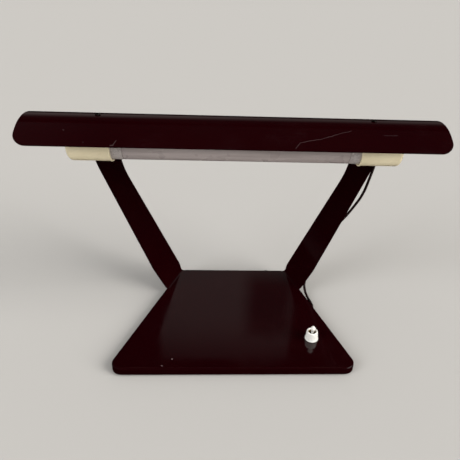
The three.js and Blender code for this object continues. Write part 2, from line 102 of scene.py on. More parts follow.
# Tube and holders
TUBE_LOW, TUBE_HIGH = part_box("lamp_glass")
TUBE_R = (TUBE_HIGH.z - TUBE_LOW.z) / 2
TUBE_Z = (TUBE_HIGH.z + TUBE_LOW.z) / 2
GLASS_HALF = TUBE_HIGH.x
CAP_START, CAP_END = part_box("lamp_cap_right")[0].x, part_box("lamp_cap_right")[1].x
CAP_R = 15.1 * MM
CAP_SHOULDER = 150 * MM
HOLDER_START, HOLDER_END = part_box("holder_right")[0].x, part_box("holder_right")[1].x
HOLDER_R = 17 * MM
HOLDER_LIP_R = 17.6 * MM
HOLDER_EDGE_R = 5 * MM
BORE_R = 15.6 * MM
BORE_END = 174 * MM
CONTACT_X = 151.5 * MM  # where a contact disc meets the tube's end
SPRING_START = CONTACT_X + 2.4 * MM
SPRING_END = BORE_END - 0.8 * MM
SPRING_SMALL_R = 5.4 * MM
SPRING_LARGE_R = 10.4 * MM
SPRING_WIRE_R = 0.45 * MM
BOSS_HALF_X = 7 * MM
BOSS_HALF_Y = 6.5 * MM
BOSS_BOTTOM = TUBE_Z + 16 * MM
BOSS_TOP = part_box("holder_right")[1].z
SCREW_X = 143.5 * MM
INSERT_R = 3.3 * MM  # the pocket in the boss for the brass insert
INSERT_BOTTOM = 246.4 * MM
LEAD_HOLE_X = 170 * MM
LEAD_HOLE_R = 2.3 * MM
LINK_HOLE_X = 161.5 * MM
LINK_HOLE_R = 1.5 * MM

# Switch
SWITCH_X = 92.8 * MM
SWITCH_Y = -48.8 * MM
LEVER_PIVOT_Z = 15.5 * MM
LEVER_TILT = math.radians(10)  # leaning to the front

# Wires
LEAD_R = 1.65 * MM
LINK_R = 1.0 * MM
LEAD_ROUTE = [
    (0.1700, 0.0284, 0.2294), (0.1700, 0.0335, 0.2292), (0.1694, 0.0400, 0.2250),
    (0.1674, 0.0456, 0.2140), (0.1652, 0.0488, 0.2000), (0.1638, 0.0500, 0.1885),
    (0.1618, 0.0510, 0.1760), (0.1592, 0.0515, 0.1625), (0.1551, 0.0520, 0.1500),
    (0.1488, 0.0520, 0.1380), (0.1415, 0.0523, 0.1255), (0.1334, 0.0540, 0.1120),
    (0.1218, 0.0576, 0.0840), (0.1118, 0.0600, 0.0524), (0.1052, 0.0608, 0.0330),
    (0.1006, 0.0606, 0.0210), (0.0987, 0.0566, 0.0130), (0.0989, 0.0494, 0.0082),
    (0.1003, 0.0410, 0.0058), (0.1027, 0.0315, 0.0047), (0.1050, 0.0218, 0.0043),
    (0.1034, 0.0123, 0.0049), (0.0986, 0.0020, 0.0054), (0.0954, -0.0120, 0.0052),
    (0.0936, -0.0260, 0.0049), (0.0930, -0.0386, 0.0049),
]
LINK_ROUTE = [
    (-0.1615, 0.0284, 0.2294), (-0.1615, 0.0326, 0.2296), (-0.1605, 0.0342, 0.2340),
    (-0.1570, 0.0338, 0.2410), (-0.1480, 0.0332, 0.2445), (-0.1100, 0.0330, 0.2450),
    (0.0000, 0.0330, 0.2442), (0.1100, 0.0330, 0.2450), (0.1480, 0.0332, 0.2445),
    (0.1570, 0.0338, 0.2410), (0.1605, 0.0342, 0.2340), (0.1615, 0.0326, 0.2296),
    (0.1615, 0.0284, 0.2294),
]
SUPPLY_ROUTE = [
    (0.0505, 0.0594, 0.0056), (0.0505, 0.0520, 0.0056), (0.0540, 0.0320, 0.0052),
    (0.0620, 0.0080, 0.0050), (0.0675, -0.0160, 0.0050), (0.0705, -0.0360, 0.0050),
    (0.0740, -0.0486, 0.0050), (0.0794, -0.0554, 0.0049), (0.0850, -0.0568, 0.0049),
    (0.0906, -0.0568, 0.0049),
]

# ---------------------------------------------------------------- new objects
def placed(name, data):
    """A new object in the scene with this data."""
    made = bpy.data.objects.new(name, data)
    bpy.context.scene.collection.objects.link(made)
    return made


def meshed(name, built, material):
    """A new object from a bmesh, with one material."""
    data = bpy.data.meshes.new(name)
    built.to_mesh(data)
    built.free()
    data.materials.append(material)
    return placed(name, data)


# ---------------------------------------------------------------- camera
CAMERA_AT = (-0.009381, -0.458769, 0.400287)
CAMERA_PITCH = math.radians(30.213)  # below the horizon
CAMERA_YAW = math.radians(3.292)  # towards +X
CAMERA_ROLL = math.radians(2.356)
CAMERA_SENSOR = 36  # millimetres, as the lens
CAMERA_LENS = 36.08
CAMERA_SHIFT = -0.0445


def add_camera():
    """The camera that sees the lamp from above and in front."""
    data = bpy.data.cameras.new("camera")
    data.sensor_width = CAMERA_SENSOR
    data.lens = CAMERA_LENS
    data.shift_x = CAMERA_SHIFT
    data.clip_start = 0.01
    camera = placed("camera", data)
    flat = math.cos(CAMERA_PITCH)
    forward = Vector((math.sin(CAMERA_YAW) * flat, math.cos(CAMERA_YAW) * flat, -math.sin(CAMERA_PITCH)))
    right = Vector((math.cos(CAMERA_YAW), -math.sin(CAMERA_YAW), 0))
    up = right.cross(forward)
    c, s = math.cos(CAMERA_ROLL), math.sin(CAMERA_ROLL)
    axes = Matrix((c * right + s * up, c * up - s * right, -forward)).transposed()
    camera.matrix_world = Matrix.Translation(CAMERA_AT) @ axes.to_4x4()
    bpy.context.scene.camera = camera


# ---------------------------------------------------------------- shader helpers
class Shader:
    """A material's node tree, with short calls for the nodes that the finishes use."""

    def __init__(self, name, color, roughness, metallic=0.0):
        self.material = bpy.data.materials.new(name)
        self.material.use_nodes = True
        self.tree = self.material.node_tree
        self.bsdf = self.tree.nodes["Principled BSDF"]
        self.set("Base Color", (*color, 1))
        self.set("Roughness", roughness)
        self.set("Metallic", metallic)
        self.place = self.tree.nodes.new("ShaderNodeTexCoord").outputs["Object"]

    def set(self, socket, value):
        self.bsdf.inputs[socket].default_value = value

    def link(self, source, target):
        self.tree.links.new(source, target)

    def wire(self, source, socket):
        self.link(source, self.bsdf.inputs[socket])

    def node(self, kind, inputs=None, **settings):
        made = self.tree.nodes.new("ShaderNode" + kind)
        for key, value in settings.items():
            setattr(made, key, value)
        for key, value in (inputs or {}).items():
            if isinstance(value, bpy.types.NodeSocket):
                self.link(value, made.inputs[key])
            else:
                made.inputs[key].default_value = value
        return made

    def scaled(self, x, y, z):
        return self.node("Mapping", {"Vector": self.place, "Scale": (x, y, z)}).outputs["Vector"]

    def noise(self, scale, detail, rough=0.55, place=None, distortion=0.0):
        inputs = {
            "Vector": place or self.place,
            "Scale": scale,
            "Detail": detail,
            "Roughness": rough,
            "Distortion": distortion,
        }
        return self.node("TexNoise", inputs).outputs["Fac"]

    def ramp(self, value, low, high, start=0.0, end=1.0):
        inputs = {"Value": value, "From Min": low, "From Max": high, "To Min": start, "To Max": end}
        return self.node("MapRange", inputs, interpolation_type="SMOOTHSTEP").outputs["Result"]

    def math(self, operation, a, b=0.0, clamp=False):
        return self.node("Math", {0: a, 1: b}, operation=operation, use_clamp=clamp).outputs[0]

    def times(self, a, b):
        return self.math("MULTIPLY", a, b)

    def mix(self, share, a, b):
        made = self.tree.nodes.new("ShaderNodeMix")
        made.data_type = "RGBA"
        for index, value in ((0, share), (6, a), (7, b)):
            if isinstance(value, bpy.types.NodeSocket):
                self.link(value, made.inputs[index])
            else:
                made.inputs[index].default_value = (*value, 1) if index else value
        return made.outputs[2]

    def bump(self, height, strength, distance):
        made = self.node("Bump", {"Height": height, "Strength": strength, "Distance": distance})
        self.wire(made.outputs["Normal"], "Normal")


def scratches(shader, scale, turn, width):
    """A mask of fine straight scratches in one direction, broken up by noise."""
    mapping = shader.node("Mapping", {"Vector": shader.place, "Rotation": turn, "Scale": (1, 14, 14)})
    lines = shader.noise(scale, 2, 0.5, mapping.outputs["Vector"], 0.4)
    near = shader.math("ABSOLUTE", shader.math("SUBTRACT", lines, 0.5))
    thin = shader.ramp(near, 0.0, width, 1.0, 0.0)
    patches = shader.ramp(shader.noise(22, 2), 0.56, 0.68)
    return shader.times(thin, patches)


def specks(shader, scale, size, rarity):
    """A mask of small round chips: one in a few cells of a Voronoi pattern."""
    cells = shader.node("TexVoronoi", {"Vector": shader.place, "Scale": scale})
    dot = shader.ramp(cells.outputs["Distance"], size * 0.6, size, 1.0, 0.0)
    pick = shader.node("SeparateColor", {"Color": cells.outputs["Color"]}).outputs["Red"]
    return shader.times(dot, shader.ramp(pick, rarity, rarity + 0.01))


def mark(shader, place, start, end, width):
    """A mask of one short mark from start to end in the plane of `place`."""
    run = Vector(end) - Vector(start)
    offset = shader.node("VectorMath", {0: place, 1: (*start, 0)}, operation="SUBTRACT").outputs[0]
    along = shader.node("VectorMath", {0: offset, 1: (*run, 0)}, operation="DOT_PRODUCT").outputs["Value"]
    share = shader.math("DIVIDE", along, max(run.length_squared, 1e-9), clamp=True)
    step = shader.node("VectorMath", {0: (*run, 0), 3: share}, operation="SCALE").outputs[0]
    away = shader.node("VectorMath", {0: offset, 1: step}, operation="SUBTRACT").outputs[0]
    distance = shader.node("VectorMath", {0: away}, operation="LENGTH").outputs["Value"]
    return shader.ramp(distance, width * 0.4, width, 1.0, 0.0)


def most(shader, masks):
    """The strongest of the masks at each place."""
    total = masks[0]
    for mask in masks[1:]:
        total = shader.math("MAXIMUM", total, mask)
    return total


# ---------------------------------------------------------------- finishes
LACQUER = (0.0064, 0.00015, 0.0006)
LACQUER_WARM = (0.0074, 0.0003, 0.0007)
WORN_LACQUER = (0.20, 0.15, 0.15)


def lacquer(name, marks):
    """Dark oxblood stove enamel: slightly wavy, with fine scratches, chips and a little dust."""
    s = Shader(name, LACQUER, 0.1)
    cloudy = s.ramp(s.noise(9, 3), 0.35, 0.7)
    color = s.mix(cloudy, LACQUER, LACQUER_WARM)
    lines = s.math(
        "MAXIMUM",
        scratches(s, 60, (0.2, 0.3, 0.35), 0.006),
        scratches(s, 75, (0.1, -0.4, -0.9), 0.005),
    )
    chips = specks(s, 85, 0.075, 0.955)
    wear = s.math("MAXIMUM", s.times(lines, 0.05), s.times(chips, 0.12))
    wear = s.math("MAXIMUM", wear, marks(s))
    s.wire(s.mix(wear, color, WORN_LACQUER), "Base Color")
    haze = s.ramp(s.noise(30, 5), 0.4, 0.75, 0.075, 0.16)
    s.wire(s.math("ADD", haze, s.times(wear, 0.3), clamp=True), "Roughness")
    peel = s.math("ADD", s.times(s.noise(420, 2), 0.25), s.noise(26, 2))
    height = s.math("SUBTRACT", peel, s.times(wear, 0.6))
    s.bump(height, 0.1, 0.0004)
    return s.material


# Marks on the hood: x, and distance round the curve from the crest to the front; then width and strength.
HOOD_CRACK = [(0.057, 0.0446), (0.062, 0.0383), (0.083, 0.0334), (0.0975, 0.0284), (0.115, 0.0216)]
HOOD_MARKS = [(a, b, 0.0004, 0.13) for a, b in zip(HOOD_CRACK, HOOD_CRACK[1:])] + [
    ((-0.171, 0.0291), (-0.1705, 0.0291), 0.0008, 0.12),
    ((-0.150, 0.0427), (-0.150, 0.0427), 0.0007, 0.12),
    ((-0.124, 0.0459), (-0.121, 0.0456), 0.0006, 0.12),
    ((-0.1215, 0.0452), (-0.1188, 0.0410), 0.0005, 0.12),
    ((0.148, 0.0269), (0.162, 0.0268), 0.0005, 0.07),
]
# Marks on the tray's top: x and y.
BASE_MARKS = [
    ((-0.0699, -0.0819), (-0.0697, -0.0819), 0.0009, 1.0),
    ((-0.0805, -0.0915), (-0.0795, -0.0922), 0.0010, 0.3),
]


def marks_in(shader, place, marks):
    """One mask of all the marks in a list, each at its own strength."""
    masks = []
    for start, end, width, strength in marks:
        masks.append(shader.times(mark(shader, place, start, end, width), strength))
    return most(shader, masks)


def hood_marks(s):
    """The crack and the chips on the hood's front, in the plane of the unrolled sheet."""
    parts = s.node("SeparateXYZ", {"Vector": s.place})
    forward = s.math("SUBTRACT", HOOD_Y, parts.outputs["Y"])
    upward = s.math("SUBTRACT", parts.outputs["Z"], HOOD_Z)
    round_crest = s.times(s.math("ARCTAN2", forward, upward), HOOD_R)
    shake = s.times(s.math("SUBTRACT", s.noise(110, 3), 0.5), 0.004)
    flat = s.node("CombineXYZ", {"X": parts.outputs["X"], "Y": s.math("ADD", round_crest, shake)})
    return marks_in(s, flat.outputs["Vector"], HOOD_MARKS)


def base_marks(s):
    """The chips on the tray's top."""
    parts = s.node("SeparateXYZ", {"Vector": s.place})
    flat = s.node("CombineXYZ", {"X": parts.outputs["X"], "Y": parts.outputs["Y"]}).outputs["Vector"]
    return marks_in(s, flat, BASE_MARKS)


def moulded_plastic(name, light, dark, roughness):
    """Moulded plastic: faint clouding, soft dirt and a fine grain."""
    s = Shader(name, light, roughness)
    clouds = s.ramp(s.noise(34, 4, 0.6, s.scaled(0.6, 1, 1)), 0.38, 0.72)
    dirt = s.ramp(s.noise(160, 5, 0.7), 0.6, 0.8, 0.0, 0.5)
    color = s.mix(clouds, light, dark)
    grime = tuple(0.55 * c for c in dark)
    s.wire(s.mix(dirt, color, grime), "Base Color")
    s.wire(s.ramp(s.noise(70, 3), 0.3, 0.8, roughness * 0.8, roughness * 1.25), "Roughness")
    s.bump(s.math("ADD", s.noise(900, 2), s.times(s.noise(60, 2), 1.5)), 0.08, 0.0002)
    return s.material


def opal_glass():
    """White-coated glass with faint lengthwise streaks."""
    s = Shader("opal_glass", (0.41, 0.355, 0.345), 0.3)
    streaks = s.ramp(s.noise(260, 4, 0.6, s.scaled(0.05, 1, 1)), 0.35, 0.7)
    s.wire(s.mix(streaks, (0.46, 0.40, 0.39), (0.38, 0.325, 0.315)), "Base Color")
    s.wire(s.ramp(s.noise(40, 3), 0.3, 0.7, 0.24, 0.36), "Roughness")
    s.set("Coat Weight", 0.3)
    s.set("Coat Roughness", 0.08)
    s.bump(s.noise(300, 2, 0.5, s.scaled(0.08, 1, 1)), 0.06, 0.0002)
    return s.material


def bare_metal(name, color, roughness, stretch=(1, 1, 1)):
    """Metal with turning or drawing marks and dull spots."""
    s = Shader(name, color, roughness, 1.0)
    dull = s.ramp(s.noise(190, 5, 0.7), 0.48, 0.7, 0.0, 0.35)
    worn = tuple(0.45 * c for c in color)
    s.wire(s.mix(dull, color, worn), "Base Color")
    lines = s.noise(900, 2, 0.5, s.scaled(*stretch))
    s.wire(s.ramp(lines, 0.3, 0.7, roughness * 0.75, min(1.0, roughness * 1.4)), "Roughness")
    s.bump(lines, 0.12, 0.0001)
    return s.material


def cap_metal():
    """Dull grey aluminium with the speckled bloom of old lamp caps."""
    s = Shader("cap_metal", (0.60, 0.55, 0.53), 0.45, 0.35)
    bloom = s.ramp(s.noise(1100, 4, 0.7), 0.42, 0.62)
    s.wire(s.mix(bloom, (0.74, 0.68, 0.66), (0.52, 0.46, 0.44)), "Base Color")
    s.wire(s.ramp(bloom, 0.0, 1.0, 0.35, 0.55), "Roughness")
    s.bump(s.noise(800, 3), 0.15, 0.0001)
    return s.material


def rubber():
    """Black rubber with a little dust in its pores."""
    s = Shader("rubber", (0.011, 0.009, 0.008), 0.75)
    dust = s.ramp(s.noise(240, 5, 0.7), 0.5, 0.8, 0.0, 0.6)
    s.wire(s.mix(dust, (0.011, 0.009, 0.008), (0.05, 0.045, 0.04)), "Base Color")
    s.bump(s.noise(1400, 3), 0.3, 0.0001)
    return s.material


def lead_skin():
    """Dark brown, shiny flex with slight drawing marks along its length."""
    s = Shader("lead_skin", (0.013, 0.006, 0.006), 0.22)
    faded = s.ramp(s.noise(45, 4), 0.4, 0.75)
    s.wire(s.mix(faded, (0.011, 0.005, 0.005), (0.022, 0.012, 0.011)), "Base Color")
    s.wire(s.ramp(s.noise(300, 3), 0.3, 0.7, 0.16, 0.34), "Roughness")
    s.bump(s.noise(700, 2), 0.15, 0.0001)
    return s.material


def tungsten():
    """Dark, finely drawn filament wire."""
    s = Shader("tungsten", (0.12, 0.12, 0.125), 0.5, 1.0)
    s.wire(s.ramp(s.noise(1500, 3), 0.3, 0.7, 0.4, 0.65), "Roughness")
    s.bump(s.noise(2500, 2, 0.5, s.scaled(1, 0.1, 0.1)), 0.3, 0.00005)
    return s.material


FINISH = {
    "stand": lacquer("stand_lacquer", base_marks),
    "hood": lacquer("hood_lacquer", hood_marks),
    "cream": moulded_plastic("cream_plastic", (0.84, 0.745, 0.52), (0.76, 0.665, 0.45), 0.32),
    "white": moulded_plastic("white_plastic", (0.66, 0.65, 0.61), (0.58, 0.57, 0.52), 0.3),
    "black": moulded_plastic("black_plastic", (0.012, 0.010, 0.009), (0.02, 0.015, 0.012), 0.42),
    "glass": opal_glass(),
    "cap": cap_metal(),
    "brass": bare_metal("brass", (0.56, 0.38, 0.13), 0.3),
    "steel": bare_metal("steel", (0.42, 0.41, 0.40), 0.3, (1, 0.2, 1)),
    "screw": bare_metal("dull_screw", (0.13, 0.11, 0.10), 0.5),
    "rubber": rubber(),
    "lead": lead_skin(),
    "tungsten": tungsten(),
}


# ---------------------------------------------------------------- mesh helpers
def piece(name, built, finish):
    """A smooth-shaded piece from a bmesh, with one finish."""
    made = meshed(name, built, FINISH[finish])
    for polygon in made.data.polygons:
        polygon.use_smooth = True
    return made


def seat(made, slot, *nodes, body=BODY):
    """The piece rides on its body and stands for its CAD nodes, which are hidden. The slot argument is not
    used.
    """
    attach(made, body)
    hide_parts(*nodes)
    return made


def soften(made, width, segments, angle=30):
    """Rounds the sharp edges and keeps the flat faces flat."""
    bevel = made.modifiers.new("rounded_edges", "BEVEL")
    bevel.width = width
    bevel.segments = segments
    bevel.limit_method = "ANGLE"
    bevel.angle_limit = math.radians(angle)
    bevel.harden_normals = True


def thicken(made, thickness):
    """Gives a surface the sheet's thickness, below its outer face."""
    solidify = made.modifiers.new("sheet", "SOLIDIFY")
    solidify.thickness = thickness
    solidify.offset = -1
    solidify.use_even_offset = True


def applied(made):
    """Puts the result of an object's modifiers in its mesh."""
    bpy.context.view_layer.update()
    evaluated = made.evaluated_get(bpy.context.evaluated_depsgraph_get())
    result = bpy.data.meshes.new_from_object(evaluated)
    made.modifiers.clear()
    made.data = result


def carve(made, operation, *tools):
    """Joins the tools to a piece or cuts them out of it, and removes them."""
    for tool in tools:
        modifier = made.modifiers.new("carve", "BOOLEAN")
        modifier.operation = operation
        modifier.solver = "EXACT"
        modifier.object = tool
    applied(made)
    for tool in tools:
        bpy.data.objects.remove(tool)


def turned(name, profile, finish, sides, place=None):
    """A closed turned piece about Z from (radius, height) points.

    The outline's ends close on the axis or on each other.
    """
    built = bmesh.new()
    rings = []
    for radius, height in profile:
        if radius < 1e-7:
            rings.append([built.verts.new((0, 0, height))])
            continue
        turns = [2 * math.pi * i / sides for i in range(sides)]
        rings.append([built.verts.new((radius * math.cos(a), radius * math.sin(a), height)) for a in turns])
    if len(rings[0]) > 1:
        rings.append(rings[0])
    for low, high in zip(rings, rings[1:]):
        for i in range(sides):
            j = (i + 1) % sides
            if len(low) == 1 and len(high) > 1:
                built.faces.new((low[0], high[j], high[i]))
            elif len(high) == 1 and len(low) > 1:
                built.faces.new((low[i], low[j], high[0]))
            elif len(low) > 1:
                built.faces.new((low[i], low[j], high[j], high[i]))
    bmesh.ops.recalc_face_normals(built, faces=built.faces)
    if place is not None:
        bmesh.ops.transform(built, matrix=place, verts=built.verts)
    return piece(name, built, finish)


def block(name, low, high, finish):
    """A plain block between two corners."""
    built = bmesh.new()
    bmesh.ops.create_cube(built, size=1)
    low, high = Vector(low), Vector(high)
    size = high - low
    for v in built.verts:
        v.co = Vector(((low[i] + high[i]) / 2 + v.co[i] * size[i] for i in range(3)))
    return piece(name, built, finish)


def along_x(side=1):
    """Places a piece turned about Z so that its axis lies on the tube's axis, pointing to one side."""
    return Matrix.Translation((0, HOOD_Y, TUBE_Z)) @ Matrix.Rotation(side * math.pi / 2, 4, "Y")


def at(x, y, z=0.0):
    """Places a piece turned about Z on an upright axis through (x, y)."""
    return Matrix.Translation((x, y, z))


def quad(built, corners, outward):
    """A face whose normal points the same way as `outward`."""
    a, b, c = (corner.co for corner in corners[:3])
    if (b - a).cross(c - a).dot(outward) < 0:
        corners = corners[::-1]
    return built.faces.new(corners)


# ---------------------------------------------------------------- stand
def base_half(y):
    """Half the tray's width at y, along its sloping sides."""
    share = (y - BASE_FRONT) / (BASE_REAR - BASE_FRONT)
    return BASE_HALF_FRONT + (BASE_HALF_REAR - BASE_HALF_FRONT) * share


def smooth_path(points, reaches):
    """Rounds each inner corner, from its `reach` before it to the same length after it."""
    steps = 6
    path = [points[0]]
    for before, corner, after, reach in zip(points, points[1:], points[2:], reaches):
        start = corner + (before - corner).normalized() * reach
        end = corner + (after - corner).normalized() * reach
        for i in range(steps + 1):
            t = i / steps
            path.append(start * (1 - t) ** 2 + corner * 2 * t * (1 - t) + end * t * t)
    path.append(points[-1])
    return path


def arm_paths():
    """The right arm's front and rear edges along the sheet's middle, from the fold up to the tab's end."""
    sheet_z = BASE_TOP - 1.0 * MM
    fold_front = Vector((base_half(FOLD_FRONT_Y), FOLD_FRONT_Y, sheet_z))
    fold_rear = Vector((BASE_HALF_REAR, FOLD_REAR_Y, sheet_z))
    fold = (fold_rear - fold_front).normalized()
    inward = Vector((-fold.y, fold.x, 0)) * FOLD_BEND
    front = [fold_front + inward, fold_front, *(Vector(corner) for corner in ARM_FRONT)]
    rear = [fold_rear + inward, fold_rear, *(Vector(corner) for corner in ARM_REAR)]
    front_path = smooth_path(front, [FOLD_BEND * 0.98, 0.004, 0.014])
    rear_path = smooth_path(rear, [FOLD_BEND * 0.98, 0.004, 0.020])
    tab_steps = 12
    for i in range(tab_steps + 1):
        a = TAB_REAR_ANGLE + (TAB_FRONT_ANGLE - TAB_REAR_ANGLE) * i / tab_steps
        y, z = HOOD_Y + TAB_R * math.sin(a), HOOD_Z + TAB_R * math.cos(a)
        front_path.append(Vector((front[-1].x, y, z)))
        rear_path.append(Vector((rear[-1].x, y, z)))
    return front_path, rear_path


def divided(front_path, rear_path):
    """The same two paths with extra points, so that no run of the front one is long."""
    longest = 0.02
    fronts, rears = [front_path[0]], [rear_path[0]]
    for f0, f1, r0, r1 in zip(front_path, front_path[1:], rear_path, rear_path[1:]):
        steps = max(1, math.ceil((f1 - f0).length / longest))
        for i in range(1, steps + 1):
            fronts.append(f0.lerp(f1, i / steps))
            rears.append(r0.lerp(r1, i / steps))
    return fronts, rears


def arm_grid():
    """Rows of points on the right arm's inner face, with the direction that face looks in."""
    fronts, rears = divided(*arm_paths())
    rows = []
    last = len(fronts) - 1
    for i, (front, rear) in enumerate(zip(fronts, rears)):
        before, after = max(i - 1, 0), min(i + 1, last)
        along = (fronts[after] + rears[after] - fronts[before] - rears[before]) / 2
        inner = along.cross(rear - front).normalized()
        lift = inner * SHEET / 2
        row = [front.lerp(rear, share) + lift for share in ARM_COLUMNS]
        if i == 0:
            row = [Vector((p.x, p.y, BASE_TOP)) for p in row]
        rows.append((row, inner))
    return rows


def rim_points():
    """The tray's right edge from the front's middle to the fold.

    Each point is (x, y), the inward direction and the height of the rim's lower edge.
    """
    front = [(x, BASE_FRONT) for x in (0.0, 0.04, 0.08, 0.11)]
    side = Vector((BASE_HALF_REAR - BASE_HALF_FRONT, BASE_REAR - BASE_FRONT)).normalized()
    inward_side = Vector((-side.y, side.x))
    turn = math.pi - math.acos(-side.x)
    centre = Vector((BASE_HALF_FRONT - BASE_CORNER_R * math.tan(turn / 2), BASE_FRONT + BASE_CORNER_R))
    points = [(Vector(p), Vector((0, 1)), RIM_BOTTOM) for p in front]
    arc_steps = 16
    for i in range(arc_steps + 1):
        a = -math.pi / 2 + turn * i / arc_steps
        out = Vector((math.cos(a), math.sin(a)))
        points.append((centre + out * BASE_CORNER_R, -out, RIM_BOTTOM))
    first, last = NOTCH_Y - NOTCH_HALF, NOTCH_Y + NOTCH_HALF
    blend = 1.5 * MM
    # The rim's lower edge from front to back: straight, over the notch for the lead, and straight again.
    heights = [
        (-0.05, RIM_BOTTOM), (-0.02, RIM_BOTTOM),
        (first - blend, RIM_BOTTOM), (first - blend / 3, RIM_BOTTOM + 0.6 * MM),
        (first, RIM_BOTTOM + 2 * MM), (first, NOTCH_TOP - 1 * MM),
        (first + blend / 2, NOTCH_TOP), (last - blend / 2, NOTCH_TOP),
        (last, NOTCH_TOP - 1 * MM), (last, RIM_BOTTOM + 2 * MM),
        (last + blend / 3, RIM_BOTTOM + 0.6 * MM), (last + blend, RIM_BOTTOM),
        (0.032, RIM_BOTTOM), (FOLD_FRONT_Y - 1 * MM, RIM_BOTTOM),
    ]
    for i, (y, low) in enumerate(heights):
        nudge = 0.02 * MM * (i % 2)  # keeps two points at one y apart
        points.append((Vector((base_half(y + nudge), y + nudge)), inward_side, low))
    return points


def rear_rim_points():
    """The tray's rear edge from beside the right fold to the middle."""
    start = BASE_HALF_REAR - FOLD_RELIEF
    return [(Vector((x, BASE_REAR)), Vector((0, -1)), RIM_BOTTOM) for x in (start, start - 0.004, 0.035, 0.0)]


def inset_loop(points, depth):
    """Moves a closed loop inwards by `depth`, by the bisector at each corner."""
    moved = []
    count = len(points)
    for i, p in enumerate(points):
        before = (p - points[i - 1]).normalized()
        after = (points[(i + 1) % count] - p).normalized()
        normal = Vector((-(before.y + after.y), before.x + after.x, 0))
        moved.append(p + normal.normalized() * depth)
    return moved


def stand():
    """The tray, its rim and both arms: one folded sheet, whose left half mirrors the right."""
    built = bmesh.new()
    arm = arm_grid()
    arc = [math.pi / 2 * i / 6 for i in range(7)]

    def column(point, inward, low):
        """The rim's section at one point: the round edge, then the wall."""
        rows = [(EDGE_R * (1 - math.sin(a)), BASE_TOP - EDGE_R * (1 - math.cos(a))) for a in arc]
        rows += [(0, BASE_TOP - EDGE_R - 0.6 * MM), (0, low)]
        return [Vector((*(point + inward * depth), z)) for depth, z in rows]

    right_rim = rim_points()
    rear_rim = rear_rim_points()

    def half(side):
        """One side's rims and arm; only the right side's rim has the notch."""
        flip = Vector((side, 1, 1))
        rims = []
        for run in (right_rim, rear_rim):
            strip = []
            for point, inward, low in run:
                low = low if side > 0 else RIM_BOTTOM
                rows = [built.verts.new(p * flip) for p in column(point, inward, low)]
                strip.append((rows, Vector((-inward.x * side, -inward.y, 0.2))))
            rims.append(strip)
        grid = [([built.verts.new(p * flip) for p in row], inner * flip) for row, inner in arm]
        return rims, grid

    def join_columns(strip):
        for (a, out), (b, _) in zip(strip, strip[1:]):
            for k in range(len(a) - 1):
                quad(built, [a[k], a[k + 1], b[k + 1], b[k]], out)

    def join_rows(grid):
        for (a, inner), (b, _) in zip(grid, grid[1:]):
            for k in range(len(a) - 1):
                quad(built, [a[k], a[k + 1], b[k + 1], b[k]], inner)

    (side_r, rear_r), grid_r = half(1)
    (side_l, rear_l), grid_l = half(-1)
    for strip in (side_r, rear_r, side_l, rear_l):
        join_columns(strip)
    join_rows(grid_r)
    join_rows(grid_l)
    right = [rows[0] for rows, _ in side_r] + grid_r[0][0] + [rows[0] for rows, _ in rear_r]
    left = [rows[0] for rows, _ in side_l] + grid_l[0][0] + [rows[0] for rows, _ in rear_l]
    loop = right + left[::-1]
    inner = [built.verts.new(p) for p in inset_loop([v.co.copy() for v in loop], 1.5 * MM)]
    up = Vector((0, 0, 1))
    count = len(loop)
    for i in range(count):
        j = (i + 1) % count
        quad(built, [loop[i], loop[j], inner[j], inner[i]], up)
    quad(built, inner, up)
    bmesh.ops.remove_doubles(built, verts=built.verts, dist=1e-6)
    made = piece("folded_stand", built, "stand")
    thicken(made, SHEET)
    soften(made, 0.45 * MM, 2, 50)
    return seat(made, "enamel", "stand_sheet")


# ---------------------------------------------------------------- hood
def hood():
    """Part of a round tube with rounded corners, open below."""
    arc = HOOD_R * HOOD_HALF_ANGLE
    corner_steps, plain_steps = 10, 36
    angles = []
    for i in range(corner_steps):
        depth = HOOD_CORNER_R * (1 - math.cos(i / corner_steps * math.pi / 2))
        angles.append(-HOOD_HALF_ANGLE + depth / HOOD_R)
    start = -HOOD_HALF_ANGLE + HOOD_CORNER_R / HOOD_R
    angles += [start * (1 - 2 * i / plain_steps) for i in range(plain_steps + 1)]
    angles += [-a for a in reversed(angles[:corner_steps])]
    straight = HOOD_HALF - HOOD_CORNER_R
    inner = [straight * share for share in (-0.985, -0.9, -0.45, 0.0, 0.45, 0.9, 0.985)]
    built = bmesh.new()
    rows = []
    for a in angles:
        short = max(0.0, HOOD_CORNER_R - (arc - abs(a) * HOOD_R))
        half = straight + math.sqrt(max(0.0, HOOD_CORNER_R**2 - short**2))
        y, z = HOOD_Y + HOOD_R * math.sin(a), HOOD_Z + HOOD_R * math.cos(a)
        rows.append(([built.verts.new((x, y, z)) for x in (-half, *inner, half)], a))
    for (low, a), (high, _) in zip(rows, rows[1:]):
        out = Vector((0, math.sin(a), math.cos(a)))
        for k in range(len(low) - 1):
            quad(built, [low[k], low[k + 1], high[k + 1], high[k]], out)
    made = piece("curved_hood", built, "hood")
    thicken(made, HOOD_SHEET)
    soften(made, 0.4 * MM, 3, 50)
    return seat(made, "enamel", "hood")


# ---------------------------------------------------------------- tube
def tube():
    """The glass, narrower at both ends where it goes into the caps."""
    neck = CAP_R - 1.0 * MM
    step = CAP_START - 0.3 * MM
    inside = neck - 1.0 * MM
    profile = [
        (inside, -GLASS_HALF), (neck, -GLASS_HALF), (neck, -step), (TUBE_R - 0.5 * MM, -step),
        (TUBE_R, -step + 0.8 * MM), (TUBE_R, step - 0.8 * MM), (TUBE_R - 0.5 * MM, step),
        (neck, step), (neck, GLASS_HALF), (inside, GLASS_HALF),
    ]
    made = turned("opal_tube", profile, "glass", 96, along_x())
    soften(made, 0.3 * MM, 2, 40)
    return seat(made, "opal_glass", "lamp_glass")


